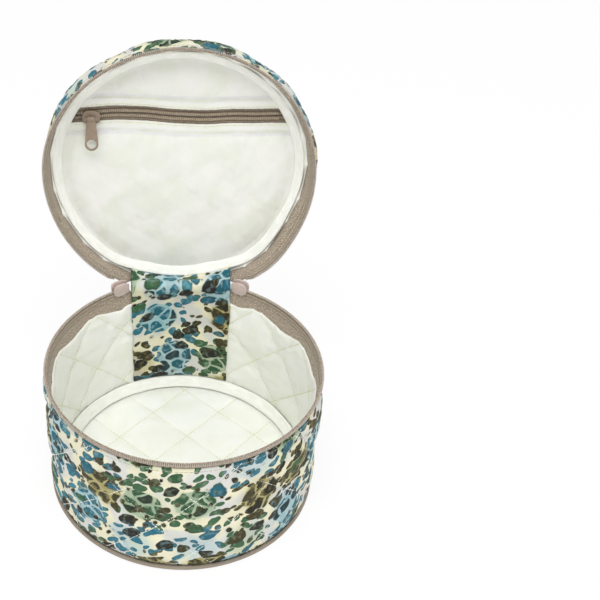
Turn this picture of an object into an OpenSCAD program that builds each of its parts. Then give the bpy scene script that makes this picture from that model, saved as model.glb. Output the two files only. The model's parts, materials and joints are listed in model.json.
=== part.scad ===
// Round quilted zip case: a padded drum with a shallow padded lid on a fabric hinge.
// The zip runs round the rim and stops at both ends of the hinge. Two sliders meet at the front.
// Origin: centre of the base, on the floor. +Z is up, the hinge is at +Y and the front at -Y.
// The lid is drawn shut and then turned open about the fold line of the hinge.

/* [Drum] */
// Outer radius of the drum at the zip line
rim_r = 90; // [80:0.5:110]
// Outer radius of the drum wall at the floor
base_r = 88.5; // [80:0.5:110]
// Height of the zip line above the floor
rim_z = 98; // [70:1:140]
// Radius of the piping cord round the base, cover included
piping_r = 1.4; // [1:0.1:2]
// Thickness of the piping's cover
piping_cover_t = 0.5; // [0.3:0.1:0.7]
// Width of the bias binding over the seam round the floor
binding_w = 8; // [6:0.5:10]
// Width of the bias binding over the seam in the lid
lid_binding_w = 6.7; // [5:0.1:7]
// Half thickness of the folded bias binding
binding_r = 0.8; // [0.5:0.1:1]

/* [Lid] */
// Clear depth of the lid, from the zip line to its lining
lid_depth = 18.5; // [17.5:0.5:40]
// Outer radius of the lid at its top seam
lid_top_r = 88.2; // [80:0.2:90]
// Rise of the padded lid at its centre
lid_crown = 2.5; // [0.5:0.5:8]
// Angle at which the lid stands open
lid_open = 98; // [92:1:105]

/* [Layers] */
// Thickness of the printed cover fabric
skin_t = 1; // [0.6:0.1:1.4]
// Thickness of the padding
foam_t = 2.5; // [1.5:0.1:4]
// Thickness of the lining
lining_t = 0.8; // [0.5:0.1:1.2]

/* [Zip] */
// Thickness of the zip tape
tape_t = 0.6; // [0.4:0.1:0.9]
// Width of tape left bare inside, on each side of the zip line
tape_show = 14; // [11:0.5:16]
// Width of tape held in the seam below that
tape_seam = 3; // [2:0.5:5]
// Width of one row of coil
coil_w = 2.6; // [2.2:0.1:3]
// Height of the coil above its tape
coil_t = 2; // [1.6:0.1:2.4]
// Overhang of a coil past the edge of its tape
coil_over = 0.6; // [0.3:0.1:1]
// Gap between the two rows of a shut zip
coil_gap = 1.2; // [1.1:0.1:1.6]
// Distance from the zip line to the stitched edge of the cover fabric
cover_edge = 4.4; // [4.4:0.1:6]

/* [Hinge] */
// Distance of the fold line in from the rim, at the middle of the hinge
fold_inset = 9; // [8:0.5:12]
// Distance from each end of the zip to the edge of the fabric hinge
hinge_inset = 5.7; // [5.6:0.1:12]
// Thickness of the outer hinge panel
hinge_t = 1.2; // [0.8:0.1:1.4]
// Thickness of the inner hinge tab
tab_t = 1.1; // [0.8:0.1:1.4]
// Clearance on each side of the fold line
fold_gap = 0.3; // [0.2:0.1:0.5]

/* [Sliders and pulls] */
// Length of a slider along its zip
slider_l = 11.6; // [10:0.2:12]
// Width of a slider across its zip
slider_w = 9.4; // [8.6:0.2:10]
// Thickness of a slider plate
plate_t = 1.2; // [0.9:0.1:1.4]
// Thickness of the wedge that joins the two plates
wedge_t = 0.6; // [0.5:0.1:0.7]
// Running clearance between a slider and its zip
run_gap = 0.3; // [0.2:0.05:0.4]
// Distance from the end of the zip to the middle of a parked slider
park_s = 3.5; // [3:0.1:5]
// Length of that wedge
wedge_l = 4.8; // [4:0.2:5.6]
// Radius of the bar that carries a pull
bar_r = 0.7; // [0.6:0.1:0.9]
// Length of the bar between its two feet
bar_l = 5.4; // [5:0.1:6]
// Width of each foot along the bar
foot_w = 1.2; // [1:0.1:1.4]
// Radial clearance of a pull on its bar
bar_clear = 0.25; // [0.2:0.05:0.35]
// Wall of the eye round the bar
eye_wall = 0.9; // [0.7:0.1:1.1]
// Gap between that eye and the face of the slider
eye_gap = 0.35; // [0.25:0.05:0.6]
// Length of a pull, from its bar to its tip
pull_l = 21.5; // [18:0.5:30]
// Width of a pull near its tip
pull_w = 9; // [8:0.1:10]
// Width of a pull at its eye
pull_neck = 6.4; // [5:0.1:7]
// Thickness of a pull
pull_t = 1.4; // [1:0.1:1.7]
// Radius of the hole near the tip of a pull
pull_hole_r = 3.2; // [2:0.1:3.3]

/* [Pocket] */
// Distance of the pocket zip from the middle of the lid
pocket_y = 38.3; // [28:0.1:42]
// Width of the opening in the lining that shows the pocket zip
pocket_window = 10.1; // [9:0.1:12]
// Width of pocket tape held under the lining on each side
pocket_seam = 3; // [2:0.5:4]
// Gap between each end of the pocket zip's coils and the binding of the lid
pocket_end_gap = 0.4; // [0.3:0.1:4]
// Length of coil left beyond the parked pocket slider
pocket_park_s = 0.4; // [0.3:0.1:6]

/* [Hidden] */
$fn = 96;
// Small gaps between pieces that lie against each other, and between sewn layers
EPS = 0.1;
LAP = 0.05;
// Distance from a parked rim slider to the end of the zip on the lid
lid_end_gap = 3.5;
// Distance from the edge of the hinge panel to the edge of the tab on it
tab_inset = 0.5;
// How far short of the lining's edge the pocket tapes stop
tape_short = 1;
// Angle that the hanging pocket pull keeps off the lining
pull_off_a = 0.5;

// Layers, as depths in from the printed face
foam_d = skin_t + foam_t;
stack = foam_d + lining_t;
tape_d = skin_t + tape_t;

// Heights in the drum
piping_z = piping_r + EPS;
wall_z0 = piping_z + piping_r + EPS;
seam_z = rim_z - tape_show;

// Heights in the lid, above the zip line
front_lining_h = lid_depth + lining_t;
pocket_plate_h = front_lining_h + tape_t + run_gap;
bag_h = pocket_plate_h + plate_t + run_gap;
pad_h = bag_h + lining_t;
lid_h = pad_h + foam_t;

// The fold line and the hinge. The zip ends where the rim meets the fold line.
fold_y = rim_r - fold_inset;
zip_end_x = sqrt(rim_r * rim_r - fold_y * fold_y);
hinge_half = zip_end_x - hinge_inset;

// Faces of the zip round the rim, as radii
tape_out_r = rim_r - skin_t;
coil_out_r = tape_out_r + coil_t;

// Angles from the hinge, as seen from above
zip_end_a = acos(fold_y / rim_r);
park_a = zip_end_a + park_s / rim_r * 180 / PI;
lid_zip_a = park_a + (slider_l / 2 + lid_end_gap) / rim_r * 180 / PI;

// The pull hangs plumb beside the leaning lining
pocket_pull_tilt = lid_open - 90 - pull_off_a;
eye_r = bar_r + bar_clear + eye_wall;

// Colours
print_col = "#9fb3a6";
lining_col = "#f4f3e6";
foam_col = "#fafafa";
tape_col = "#a8957f";
coil_col = "#7d6c5b";
metal_col = "#c9b6ae";

// The drum wall stands upright where it holds the zip, above this height
upright_z = seam_z - tape_seam;

// Outer radius of the drum wall at height z
function wall_r(z) = base_r + (rim_r - base_r) * min(1, z / upright_z);

// Outer radius of the lid at height h above the zip line
function lid_r(h) = rim_r - (rim_r - lid_top_r) * max(0, h - cover_edge) / (lid_h - cover_edge);

// Levels of a layer from z0 to z1, with one more where its slope changes between them
function levels(z0, z1, bend) = z0 < bend && bend < z1 ? [z0, bend, z1] : [z0, z1];

// Section of a layer through its outer points and back through its inner ones
function section(outer, inner) = concat(outer, [for (i = [len(inner) - 1:-1:0]) inner[i]]);

// Section of a wall layer between two heights and two depths
function wall_band(z0, z1, d0, d1) = let (zs = levels(z0, z1, upright_z)) section(
    [for (z = zs) [wall_r(z) - d0, z]],
    [for (z = zs) [wall_r(z) - d1, z]]
);

// Section of a lid layer between two heights above the zip line and two depths
function lid_band(h0, h1, d0, d1) = let (hs = levels(h0, h1, cover_edge)) section(
    [for (h = hs) [lid_r(h) - d0, rim_z + h]],
    [for (h = hs) [lid_r(h) - d1, rim_z + h]]
);

// Height of the padded lid above its edge, at radius r
function crown_at(r) = lid_crown * (1 - pow(r / lid_top_r, 2));

// Radii at which the crown of the lid is drawn, from the edge in
crown_steps = 8;
function crown_radii(edge) = [for (i = [0:crown_steps]) edge * (1 - i / crown_steps)];

module turn(section) {
    rotate_extrude() polygon(section);
}

// A sector of the drum round the hinge, from z0 up, half_a to each side
module hinge_sector(z0, z1, half_a) {
    reach = 2 * rim_r;
    translate([0, 0, z0]) linear_extrude(height = z1 - z0)
        polygon([[0, 0], [reach * tan(half_a), reach], [-reach * tan(half_a), reach]]);
}

// Turns a piece of the shut lid open about the fold line
module opened() {
    translate([0, fold_y, rim_z]) rotate([-lid_open, 0, 0]) translate([0, -fold_y, -rim_z]) children();
}

// A folded leaf of bias binding between two points of its section
module binding(p0, p1) {
    span = p1 - p0;
    rotate_extrude() union() {
        translate(p0) circle(r = binding_r, $fn = 32);
        translate(p1) circle(r = binding_r, $fn = 32);
        translate(p0) rotate(atan2(span[1], span[0])) translate([0, -binding_r])
            square([norm(span), 2 * binding_r]);
    }
}

// ---- Base ----

base_disc_r = base_r - piping_r - EPS;

module base_outer_panel() color(print_col) {
    cylinder(r = base_disc_r, h = skin_t);
}

module base_foam() color(foam_col) {
    translate([0, 0, skin_t]) cylinder(r = base_r - stack - EPS, h = foam_t);
}

module base_lining() color(lining_col) {
    translate([0, 0, foam_d]) cylinder(r = base_r - stack - EPS, h = lining_t);
}

// Flange of the piping, held between the base and the wall
flange_t = 0.4;

module base_piping_cover() color(tape_col) {
    difference() {
        rotate_extrude() union() {
            translate([base_r, piping_z]) circle(r = piping_r, $fn = 48);
            translate([base_r - stack, skin_t]) square([stack - piping_r / 2, flange_t]);
        }
        rotate_extrude() translate([base_r, piping_z]) circle(r = piping_r - piping_cover_t, $fn = 48);
    }
}

module base_piping_core() color(foam_col) {
    rotate_extrude() translate([base_r, piping_z]) circle(r = piping_r - piping_cover_t, $fn = 48);
}

// The binding leans from the floor lining up to the wall lining
base_binding_lean = 60;

module base_seam_binding() color(lining_col) {
    run = binding_w - 2 * binding_r;
    top_z = stack + EPS + binding_r + run * sin(base_binding_lean);
    top_r = wall_r(top_z) - stack - binding_r - 3 * EPS;
    foot = [top_r - run * cos(base_binding_lean), stack + EPS + binding_r];
    binding(foot, [top_r, top_z]);
}

// ---- Wall of the drum ----

module wall_outer_panel() color(print_col) {
    difference() {
        turn(wall_band(wall_z0, rim_z - cover_edge, 0, skin_t));
        hinge_sector(seam_z, rim_z, zip_end_a);
    }
}

// The padding is rebated for the piping at its foot and for the tape at its top
piping_rebate = piping_r - skin_t + 2 * EPS;

module wall_foam() color(foam_col) {
    foot_z = skin_t + flange_t;
    turn([
        [wall_r(foot_z) - foam_d, foot_z],
        [wall_r(foot_z) - skin_t - piping_rebate, foot_z],
        [wall_r(wall_z0) - skin_t - piping_rebate, wall_z0],
        [wall_r(wall_z0) - skin_t, wall_z0],
        [wall_r(upright_z) - skin_t, upright_z],
        [wall_r(upright_z) - tape_d, upright_z],
        [wall_r(seam_z) - tape_d, seam_z],
        [wall_r(seam_z) - foam_d, seam_z],
        [wall_r(upright_z) - foam_d, upright_z]
    ]);
}

module wall_lining() color(lining_col) {
    turn(wall_band(skin_t + flange_t, seam_z, foam_d, stack));
}

// ---- Zip round the rim ----

module tub_zip_tape() color(tape_col) {
    difference() {
        turn(wall_band(upright_z, rim_z - coil_gap / 2, skin_t + LAP, tape_d - LAP));
        hinge_sector(seam_z, rim_z, zip_end_a);
    }
}

module tub_zip_coil() color(coil_col) {
    difference() {
        translate([0, 0, rim_z - coil_gap / 2 - coil_w]) rotate_extrude()
            translate([tape_out_r, 0]) square([coil_t, coil_w]);
        hinge_sector(seam_z, rim_z, zip_end_a);
    }
}

module lid_zip_tape() color(tape_col) {
    opened() difference() {
        turn(lid_band(coil_gap / 2, tape_show + tape_seam, skin_t + LAP, tape_d - LAP));
        hinge_sector(rim_z, rim_z + tape_show, lid_zip_a);
    }
}

module lid_zip_coil() color(coil_col) {
    opened() difference() {
        translate([0, 0, rim_z + coil_gap / 2]) rotate_extrude()
            translate([tape_out_r, 0]) square([coil_t, coil_w]);
        hinge_sector(rim_z, rim_z + tape_show, lid_zip_a);
    }
}

// ---- Hinge ----

hinge_steps = 12;

// Point i of a ruled sheet's edge on an arc of radius r, at height z, moved in by d
function arc_pt(i, half_w, r, d, z) = let (x = half_w * (2 * i / hinge_steps - 1))
    [x, sqrt(r * r - x * x) - d, z];

// Point i of its edge on the fold line
function fold_pt(i, half_w, d, z) = [half_w * (2 * i / hinge_steps - 1), fold_y - d, z];

// A sheet lofted through rows of points, from its outer rows back along its inner rows
module sheet(outer, inner, flip) {
    n = hinge_steps + 1;
    m = len(outer);
    rows = concat(outer, [for (j = [0:m - 1]) inner[m - 1 - j]]);
    points = [for (row = rows) each row];
    strip = [for (k = [0:2 * m - 1], i = [0:hinge_steps - 1], half = [0, 1])
        let (a = k * n + i, b = ((k + 1) % (2 * m)) * n + i)
        half == 0 ? [a, a + 1, b + 1] : [a, b + 1, b]];
    ends = [for (j = [0:m - 2], i = [0, hinge_steps], half = [0, 1])
        let (a = j * n + i, b = (j + 1) * n + i, c = (2 * m - 2 - j) * n + i, d = (2 * m - 1 - j) * n + i)
        let (tri = half == 0 ? [a, b, c] : [a, c, d])
        i == 0 ? tri : [tri[0], tri[2], tri[1]]];
    faces = concat(strip, ends);
    turned = [for (f = faces) [f[0], f[2], f[1]]];
    polyhedron(points = points, faces = flip ? turned : faces);
}

// The rows of a face that runs from an arc of radius r to the fold line, moved in by d
function arc_row(half_w, r, d, z) = [for (i = [0:hinge_steps]) arc_pt(i, half_w, r, d, z)];
function fold_row(half_w, d, side) = [for (i = [0:hinge_steps]) fold_pt(i, half_w, d, rim_z + side * fold_gap)];

// A sheet of thickness t from an arc to the fold line. Its outer face starts at radius r and
// ends fold_d in from the fold line. side is -1 below the fold and 1 above it.
module hinge_sheet(half_w, r, z, fold_d, t, side) {
    sheet(
        [arc_row(half_w, r, 0, z), fold_row(half_w, fold_d, side)],
        [arc_row(half_w, r, t, z), fold_row(half_w, fold_d + t, side)],
        side < 0
    );
}

module hinge_panel_lower() color(print_col) {
    hinge_sheet(hinge_half, wall_r(seam_z) - EPS, seam_z, 0, hinge_t, -1);
}

module hinge_panel_upper() color(print_col) {
    opened() hinge_sheet(hinge_half, lid_r(tape_show) - EPS, rim_z + tape_show, 0, hinge_t, 1);
}

tab_half = hinge_half - tab_inset;
tab_foot_z = stack + binding_w + 1;

// The tab runs from the fold down the back wall to the binding at the floor
module hinge_tab_lower() color(print_col) {
    heights = [tab_foot_z, upright_z, seam_z];
    sheet(
        [for (z = heights) arc_row(tab_half, wall_r(z) - stack, EPS, z),
            fold_row(tab_half, hinge_t, -1)],
        [for (z = heights) arc_row(tab_half, wall_r(z) - stack, tab_t, z),
            fold_row(tab_half, hinge_t + tab_t, -1)],
        true
    );
}

module hinge_tab_upper() color(print_col) {
    opened() hinge_sheet(tab_half, lid_r(tape_show) - stack, rim_z + tape_show, hinge_t, tab_t, 1);
}

// ---- Lid ----

module lid_outer_panel() color(print_col) {
    opened() turn(concat(
        [for (r = crown_radii(lid_top_r)) [r, rim_z + lid_h + skin_t + crown_at(r)]],
        [for (i = [0:crown_steps]) let (r = lid_top_r * i / crown_steps)
            [r, rim_z + lid_h + crown_at(r)]]
    ));
}

module lid_foam() color(foam_col) {
    edge = lid_r(lid_h) - skin_t - LAP;
    opened() turn(concat(
        [[0, rim_z + pad_h + LAP], [lid_r(pad_h) - skin_t - LAP, rim_z + pad_h + LAP]],
        [for (r = crown_radii(edge)) [r, rim_z + lid_h + crown_at(r) - crown_at(edge) - LAP]]
    ));
}

module lid_gusset_outer() color(print_col) {
    opened() difference() {
        turn(lid_band(cover_edge, lid_h, 0, skin_t));
        hinge_sector(rim_z, rim_z + tape_show, lid_zip_a);
    }
}

module lid_gusset_foam() color(foam_col) {
    seam_h = tape_show + tape_seam;
    opened() turn([
        [lid_r(tape_show) - tape_d, rim_z + tape_show],
        [lid_r(seam_h) - tape_d, rim_z + seam_h],
        [lid_r(seam_h) - skin_t, rim_z + seam_h],
        [lid_r(pad_h) - skin_t, rim_z + pad_h],
        [lid_r(pad_h) - foam_d, rim_z + pad_h],
        [lid_r(tape_show) - foam_d, rim_z + tape_show]
    ]);
}

module lid_gusset_lining() color(lining_col) {
    opened() turn(lid_band(tape_show, bag_h - EPS, foam_d, stack));
}

// The binding leans from the front lining of the lid out to the side
lid_binding_lean = 38;

lid_binding_run = lid_binding_w - 2 * binding_r;
lid_binding_h = lid_depth - EPS - binding_r - lid_binding_run * sin(lid_binding_lean);
lid_binding_out = lid_r(lid_binding_h) - stack - tab_t - binding_r - EPS;
lid_binding_in = lid_binding_out - lid_binding_run * cos(lid_binding_lean);

module lid_seam_binding() color(lining_col) {
    opened() binding(
        [lid_binding_in, rim_z + lid_binding_h + lid_binding_run * sin(lid_binding_lean)],
        [lid_binding_out, rim_z + lid_binding_h]
    );
}

// ---- Pocket in the lid ----

lining_disc_r = lid_r(front_lining_h) - stack - EPS;
far = 2 * rim_r;

// Half the length of the pocket zip's coils, which end just inside the binding
pocket_coil_y = pocket_y + coil_gap / 2 + coil_w;
pocket_coil_l = sqrt(pow(lid_binding_in - binding_r, 2) - pow(pocket_coil_y, 2)) - pocket_end_gap;

// Distance of the parked pocket slider from the middle of its zip
pocket_park = pocket_coil_l - pocket_park_s - slider_l / 2;

// The front lining between two lines across the lid
module front_lining(y0, y1) {
    intersection() {
        translate([0, 0, rim_z + lid_depth]) cylinder(r = lining_disc_r, h = lining_t);
        translate([-far, y0, 0]) cube([2 * far, y1 - y0, far + rim_z]);
    }
}

module lid_lining_lower() color(lining_col) {
    opened() front_lining(-pocket_y + pocket_window / 2, far);
}

module lid_lining_upper() color(lining_col) {
    opened() front_lining(-far, -pocket_y - pocket_window / 2);
}

module pocket_back_lining() color(lining_col) {
    opened() translate([0, 0, rim_z + bag_h])
        cylinder(r = lid_r(pad_h) - foam_d - EPS, h = lining_t);
}

// One tape of the pocket zip, on side s of the line where its coils meet
module pocket_tape(s) {
    near = coil_gap / 2 + coil_over;
    width = pocket_window / 2 + pocket_seam - near;
    y0 = s > 0 ? near : -near - width;
    intersection() {
        translate([0, 0, rim_z + front_lining_h]) cylinder(r = lining_disc_r - tape_short, h = tape_t);
        translate([-far, -pocket_y + y0, 0]) cube([2 * far, width, far + rim_z]);
    }
}

module pocket_coil(s) {
    y0 = s > 0 ? coil_gap / 2 : -coil_gap / 2 - coil_w;
    translate([-pocket_coil_l, y0 - pocket_y, rim_z + front_lining_h - coil_t])
        cube([2 * pocket_coil_l, coil_w, coil_t]);
}

module pocket_zip_tape_upper() color(tape_col) {
    opened() pocket_tape(-1);
}

module pocket_zip_tape_lower() color(tape_col) {
    opened() pocket_tape(1);
}

module pocket_zip_coil_upper() color(coil_col) {
    opened() pocket_coil(-1);
}

module pocket_zip_coil_lower() color(coil_col) {
    opened() pocket_coil(1);
}

// ---- Sliders ----
// Drawn with X along the zip, Y out through the face of the zip and Z across it.

// Outline of a plate: a blunt nose at -X, shoulders, and a rounded mouth at +X
module plate_outline() {
    half_l = slider_l / 2;
    half_w = slider_w / 2;
    polygon([
        [-half_l, -half_w * 0.68], [-half_l * 0.35, -half_w], [half_l * 0.5, -half_w],
        [half_l * 0.88, -half_w * 0.68], [half_l, -half_w * 0.3], [half_l, half_w * 0.3],
        [half_l * 0.88, half_w * 0.68], [half_l * 0.5, half_w], [-half_l * 0.35, half_w],
        [-half_l, half_w * 0.68]
    ]);
}

// A plate between y0 and y1, as a flat one or bent to the rim of the drum
module plate(y0, y1, bent) {
    intersection() {
        rotate([-90, 0, 0]) translate([0, 0, bent ? 0 : y0])
            linear_extrude(height = bent ? y1 + 1 : y1 - y0) plate_outline();
        if (bent) {
            translate([0, 0, -slider_w]) rotate_extrude()
                translate([y0, 0]) square([y1 - y0, 2 * slider_w]);
        }
    }
}

// Distance of the bar from the outer face of a slider
function bar_lift() = eye_r + eye_gap;

// inner and outer are the faces of the two plates that look at the zip
module slider(inner, outer, bent) {
    bar_y = outer + plate_t + bar_lift();
    union() {
        plate(inner - plate_t, inner, bent);
        plate(outer, outer + plate_t, bent);
        translate([-wedge_l / 4, inner - plate_t / 2, -wedge_t / 2])
            cube([wedge_l, outer - inner + plate_t, wedge_t]);
        translate([0, bar_y, 0]) rotate([0, 90, 0])
            cylinder(r = bar_r, h = bar_l + foot_w, center = true);
        for (s = [-1, 1]) {
            translate([s * (bar_l + foot_w) / 2 - foot_w / 2, outer + plate_t / 2, -bar_r - 2 * EPS])
                cube([foot_w, plate_t / 2 + bar_lift() + bar_r + 2 * EPS, 2 * (bar_r + 2 * EPS)]);
        }
    }
}

// A pull that hangs from a bar at the origin, down -Z, with its face towards Y
module pull() {
    tip_r = pull_w / 2;
    tip_z = -pull_l + tip_r;
    head = bar_l - 2 * run_gap;
    neck_z = -eye_r - pull_t;
    difference() {
        union() {
            rotate([0, 90, 0]) cylinder(r = eye_r, h = head, center = true);
            translate([0, pull_t / 2, 0]) rotate([90, 0, 0]) linear_extrude(height = pull_t) union() {
                polygon([
                    [-head / 2, 0], [head / 2, 0], [pull_neck / 2, neck_z],
                    [tip_r, tip_z], [-tip_r, tip_z], [-pull_neck / 2, neck_z]
                ]);
                translate([0, tip_z]) circle(r = tip_r);
            }
        }
        rotate([0, 90, 0]) cylinder(r = bar_r + bar_clear, h = 2 * bar_l, center = true);
        translate([0, 0, tip_z]) rotate([90, 0, 0])
            cylinder(r = pull_hole_r, h = 4 * pull_t, center = true);
    }
}

// Faces of the rim zip that a slider runs on
rim_inner_y = tape_out_r - tape_t - run_gap;
rim_outer_y = coil_out_r + run_gap;
rim_bar_y = rim_outer_y + plate_t + bar_lift();

// Places what is drawn for a rim slider on the right side of the hinge
module parked() {
    translate([0, 0, rim_z]) rotate([0, 0, -park_a]) children();
}

module right_slider() color(metal_col) {
    parked() slider(rim_inner_y, rim_outer_y, true);
}

module left_slider() color(metal_col) {
    mirror([1, 0, 0]) parked() slider(rim_inner_y, rim_outer_y, true);
}

module right_pull() color(metal_col) {
    parked() translate([0, rim_bar_y, 0]) pull();
}

module left_pull() color(metal_col) {
    mirror([1, 0, 0]) parked() translate([0, rim_bar_y, 0]) pull();
}

// Faces of the pocket zip, measured out from the back of the front lining
pocket_inner_y = -tape_t - run_gap;
pocket_outer_y = coil_t + run_gap;
pocket_bar_y = pocket_outer_y + plate_t + bar_lift();

// Places what is drawn for the pocket slider at the left end of its zip
module pocket_parked() {
    opened() translate([-pocket_park, -pocket_y, rim_z + front_lining_h]) rotate([-90, 0, 180]) children();
}

module pocket_slider() color(coil_col) {
    pocket_parked() slider(pocket_inner_y, pocket_outer_y, false);
}

module pocket_pull() color(coil_col) {
    pocket_parked() translate([0, pocket_bar_y, 0]) rotate([pocket_pull_tilt, 0, 0]) pull();
}

base_outer_panel();
base_foam();
base_lining();
base_piping_cover();
base_piping_core();
base_seam_binding();
wall_outer_panel();
wall_foam();
wall_lining();
tub_zip_tape();
tub_zip_coil();
hinge_panel_lower();
hinge_tab_lower();
lid_outer_panel();
lid_foam();
lid_gusset_outer();
lid_gusset_foam();
lid_gusset_lining();
lid_seam_binding();
lid_zip_tape();
lid_zip_coil();
hinge_panel_upper();
hinge_tab_upper();
lid_lining_upper();
lid_lining_lower();
pocket_back_lining();
pocket_zip_tape_upper();
pocket_zip_tape_lower();
pocket_zip_coil_upper();
pocket_zip_coil_lower();
left_slider();
right_slider();
left_pull();
right_pull();
pocket_slider();
pocket_pull();
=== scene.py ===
import json
import math
from functools import partial
import bpy
import numpy as np
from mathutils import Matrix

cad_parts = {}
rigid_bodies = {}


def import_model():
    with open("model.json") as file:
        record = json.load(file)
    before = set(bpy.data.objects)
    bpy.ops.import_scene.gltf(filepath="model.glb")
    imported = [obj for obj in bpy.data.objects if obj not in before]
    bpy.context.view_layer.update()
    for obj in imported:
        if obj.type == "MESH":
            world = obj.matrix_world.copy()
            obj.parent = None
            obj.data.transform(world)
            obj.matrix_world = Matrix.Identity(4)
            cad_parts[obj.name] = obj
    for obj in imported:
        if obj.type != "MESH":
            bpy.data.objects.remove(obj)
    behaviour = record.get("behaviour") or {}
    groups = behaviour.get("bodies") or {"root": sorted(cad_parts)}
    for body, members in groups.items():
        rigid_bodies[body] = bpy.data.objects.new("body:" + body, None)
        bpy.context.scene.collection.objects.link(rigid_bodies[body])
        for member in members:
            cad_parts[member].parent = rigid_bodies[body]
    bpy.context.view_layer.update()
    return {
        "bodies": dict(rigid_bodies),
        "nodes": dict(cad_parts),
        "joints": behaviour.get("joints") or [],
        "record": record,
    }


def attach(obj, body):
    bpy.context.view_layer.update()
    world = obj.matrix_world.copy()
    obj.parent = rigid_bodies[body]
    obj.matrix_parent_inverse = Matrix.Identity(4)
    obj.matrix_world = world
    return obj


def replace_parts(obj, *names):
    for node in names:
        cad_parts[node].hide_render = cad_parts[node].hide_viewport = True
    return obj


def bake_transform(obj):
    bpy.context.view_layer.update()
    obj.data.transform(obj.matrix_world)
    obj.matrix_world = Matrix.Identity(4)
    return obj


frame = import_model()
print("frame loaded,", len(frame["nodes"]), "nodes")

# sizes that several pieces share, in millimetres
case = {
    "rimR": 90.0, "baseR": 88.5, "rimZ": 98.0, "uprightZ": 81.0,   # the drum
    "lidTopR": 88.2, "lidH": 25.0, "lidBend": 4.4,                 # the lid, heights above the zip
    "foldY": 81.0, "openAngle": 98.0,                              # the fabric hinge
    "stack": 4.3,                                                  # outer panel, padding and lining together
    "zipEndA": 25.84,                                              # degrees round from the hinge
    "quiltRepeat": 48.0, "quiltFrontS": 4.5, "quiltZ": 64.0,       # diamond quilting
    "clothR": 89.5,                                                # where the cloth of the walls is measured
}
zipZ = case["rimZ"]


# small tools that the pieces share
def deselectAll():
    if bpy.context.object and bpy.context.object.mode != "OBJECT":
        bpy.ops.object.mode_set(mode="OBJECT")
    bpy.ops.object.select_all(action="DESELECT")


def focus(piece):
    deselectAll()
    piece.select_set(True)
    bpy.context.view_layer.objects.active = piece


def applyModifier(piece, kind, **settings):
    focus(piece)
    modifier = piece.modifiers.new(kind.title(), kind)
    for key, value in settings.items():
        setattr(modifier, key, value)
    bpy.ops.object.modifier_apply(modifier=modifier.name)


def readPoints(piece):
    flat = np.zeros(len(piece.data.vertices) * 3)
    piece.data.vertices.foreach_get("co", flat)
    return flat.reshape(-1, 3)


def writePoints(piece, points):
    piece.data.vertices.foreach_set("co", np.asarray(points, np.float32).ravel())
    piece.data.update()


def ease(x):
    x = np.clip(x, 0.0, 1.0)
    return x * x * (3 - 2 * x)


def bump(x, at, reach):
    # a soft hill, 1 at its middle
    return np.exp(-((x - at) / reach) ** 2)


def spotsAt(x, y, z=0.0):
    return np.stack([x, y, z + 0 * x], 1)


def clothFlat(x, y):
    return np.stack([x, y], 1)


def ripple(points, size, seed=0):
    # soft irregularity between -1 and 1, the same each run
    total = 0.0
    for k in range(6):
        lean, turn = 1.3 * k + seed, 2.39996 * k + 0.7 * seed
        way = np.array([math.cos(turn) * math.cos(lean), math.sin(turn) * math.cos(lean), math.sin(lean)])
        total = total + np.sin(points @ way * 2 * math.pi / size * (1 + 0.23 * k) + 1.9 * k + seed)
    return total / 3.2


def fromHinge(angle):
    # degrees round from the middle of the hinge, either way
    return np.abs(np.mod(np.degrees(angle) + 180, 360) - 180)


def wallR(z):
    return case["baseR"] + (case["rimR"] - case["baseR"]) * np.minimum(1, z / case["uprightZ"])


def lidR(h):
    fall = case["rimR"] - case["lidTopR"]
    return case["rimR"] - fall * np.maximum(0, h - case["lidBend"]) / (case["lidH"] - case["lidBend"])


def ringFrom(start, count):
    # even angles once round, from start degrees at one side of the hinge to as many at the other
    return np.radians(np.linspace(start, 360 - start, count))


def ringPoints(angle, radius, z):
    # angle in radians from the hinge, towards the right
    return spotsAt(radius * np.sin(angle), radius * np.cos(angle), z + 0 * angle)


def opened(points, share=1.0):
    # turns points of the shut lid open about the fold line
    a = math.radians(case["openAngle"]) * share
    y, z = points[:, 1] - case["foldY"], points[:, 2] - zipZ
    return spotsAt(points[:, 0], case["foldY"] + y * np.cos(a) + z * np.sin(a), zipZ - y * np.sin(a) + z * np.cos(a))


lidUp = opened(np.array([[0, case["foldY"], zipZ + 1]]))[0] - [0, case["foldY"], zipZ]


# how much wider than round the soft lid stands: round from the hinge in radians, reach in radians, width in mm
lidShape = ((4.45, 0.5, 2.7), (2.2, 0.45, 0.8), (0.74, 0.26, 2.4))
lidLean = {"at": 1.1, "reach": 0.36, "mm": 3.2}


def lidPlace(points):
    # the soft lid stands a little wide at its shoulders, and its padding leans in at one side
    r, angle = np.hypot(points[:, 0], points[:, 1]), np.mod(np.arctan2(points[:, 0], points[:, 1]), 2 * math.pi)
    wide = sum(w * bump(angle, at, reach) for at, reach, w in lidShape)
    lean = lidLean["mm"] * bump(angle, lidLean["at"], lidLean["reach"]) * ease((points[:, 2] - zipZ - 3) / 9)
    share = 1 + (wide - lean) * (r / case["rimR"]) ** 4 / case["rimR"]
    return opened(points * spotsAt(share, share, 1))


def blended(points, start, end):
    # rest place of fabric that is drawn shut and bends over the fold between start and end
    s, e = np.array(start, float), np.array(end, float)
    low, high = np.zeros(len(points)), np.ones(len(points))
    for _ in range(40):
        share = (low + high) / 2
        place = opened(points, share)
        w = ease((place - s) @ (e - s) / ((e - s) @ (e - s)))
        low, high = np.where(w > share, share, low), np.where(w > share, high, share)
    return opened(points, (low + high) / 2)


def diamond(s, z, s0=case["quiltFrontS"], z0=case["quiltZ"]):
    # 0 on the stitched lines of the diamond quilting, 1 in the middle of a diamond
    a, b = (s - s0 + z - z0) / case["quiltRepeat"], (s - s0 - z + z0) / case["quiltRepeat"]
    return (np.abs(np.sin(math.pi * a)) * np.abs(np.sin(math.pi * b))) ** 0.55


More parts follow.
